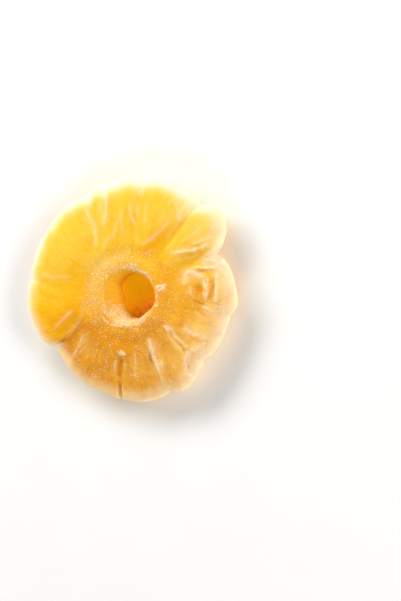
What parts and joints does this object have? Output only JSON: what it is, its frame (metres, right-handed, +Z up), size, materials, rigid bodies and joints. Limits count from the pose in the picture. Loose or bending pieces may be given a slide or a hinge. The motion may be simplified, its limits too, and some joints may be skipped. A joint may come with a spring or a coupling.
{
  "type": "dried pineapple ring",
  "caption": "Lobed ring of dried, sugared pineapple with a round core hole, creased between its lobes and split at the edge, lying flat.",
  "frame": {"origin": "centre of the box's bottom face, on the surface that the ring lies on", "axes": "+Z up out of the shown face; +X towards the lobe with the pale upright edge; +Y towards the broad smooth lobes, away from the two splits"},
  "size_m": [0.0836, 0.0788, 0.0099],
  "materials": {
    "dried_flesh": "translucent golden dried fruit flesh, paler at the rim, with radial fibres and a thin grainy sugar crust"
  },
  "bodies": {
    "root": {"pineapple_ring": "dried_flesh"}
  },
  "joints": []
}
